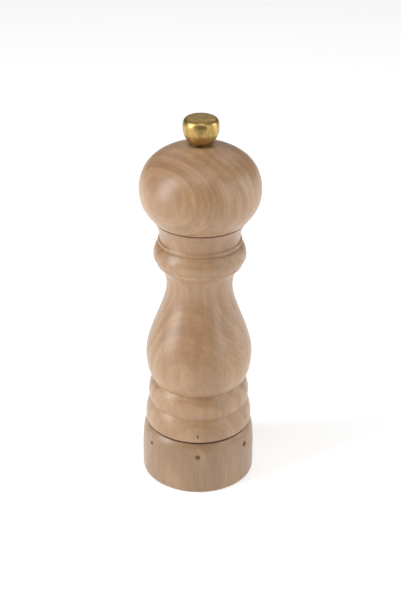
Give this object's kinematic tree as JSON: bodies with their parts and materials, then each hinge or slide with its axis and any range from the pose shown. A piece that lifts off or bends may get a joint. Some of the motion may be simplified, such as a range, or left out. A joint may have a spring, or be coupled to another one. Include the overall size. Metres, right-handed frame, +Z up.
{
  "type": "pepper mill",
  "caption": "Turned wooden pepper mill with a screw-down brass knob, a turning head, and a base ring that sets the grind of a steel burr unit.",
  "frame": {"origin": "centre of the underside of the base ring, on the mill's axis", "axes": "+Z up the mill's axis towards the knob; the index mark on the body faces -Y; +X to its right seen from the front"},
  "size_m": [0.0548, 0.0548, 0.18],
  "materials": {
    "body_wood": "satin clear lacquer on natural beech",
    "head_wood": "satin clear lacquer on natural beech",
    "ring_wood": "satin clear lacquer on natural beech, burnt setting dots",
    "knob_brass": "polished, lacquered",
    "bush_brass": "machined",
    "black_plastic": "moulded, matt",
    "grinder_steel": "case-hardened, blued grey",
    "plain_steel": "cold drawn, zinc plated",
    "spring_steel": "bright spring steel",
    "screw_steel": "zinc plated"
  },
  "bodies": {
    "mill_body": {"body": "body_wood", "mechanism_housing": "black_plastic", "stator": "grinder_steel", "guide_bush": "bush_brass", "grinder_spring": "spring_steel", "detent_spring": "spring_steel", "retaining_ring": "spring_steel", "housing_screw_1": "screw_steel", "housing_screw_2": "screw_steel", "housing_screw_3": "screw_steel", "detent_screw_1": "screw_steel"},
    "adjuster": {"adjusting_ring": "ring_wood", "ring_insert": "black_plastic"},
    "crossbar": {"lift_carrier": "plain_steel", "thrust_bush": "bush_brass"},
    "drive_train": {"drive_shaft": "plain_steel", "shaft_clip": "spring_steel", "rotor": "grinder_steel", "spring_cup": "plain_steel"},
    "head_assembly": {"head": "head_wood", "drive_plate": "plain_steel", "plate_screw_1": "screw_steel", "plate_screw_2": "screw_steel"},
    "captive_washer": {"knob_washer": "knob_brass"},
    "knob": {"knob": "knob_brass"}
  },
  "joints": [
    {"name": "grind_adjust", "type": "hinge", "parent": "mill_body", "child": "adjuster", "pos_m": [0, 0, 0], "axis": [0, 0, 1], "range_deg": [-169.5, 113], "deforming": ["detent_spring"]},
    {"name": "bearing_rise", "type": "slide", "parent": "mill_body", "child": "crossbar", "axis": [0, 0, 1], "range_m": [-0.0003, 0.0002], "deforming": ["grinder_spring"]},
    {"name": "head_turn", "type": "hinge", "parent": "crossbar", "child": "drive_train", "pos_m": [0, 0, 0], "axis": [0, 0, 1], "continuous": true},
    {"name": "head_lift", "type": "slide", "parent": "drive_train", "child": "head_assembly", "axis": [0, 0, 1], "range_m": [0, 0.06]},
    {"name": "knob_rise", "type": "slide", "parent": "head_assembly", "child": "captive_washer", "axis": [0, 0, 1], "range_m": [0, 0.0065]},
    {"name": "knob_turn", "type": "hinge", "parent": "captive_washer", "child": "knob", "pos_m": [0, 0, 0.17], "axis": [0, 0, 1], "range_deg": [0, 2880]}
  ],
  "couplings": [
    {"joint": "bearing_rise", "follows": "grind_adjust", "m_per_rad": 0.00010141},
    {"joint": "knob_rise", "follows": "knob_turn", "m_per_rad": 0.00012732}
  ]
}
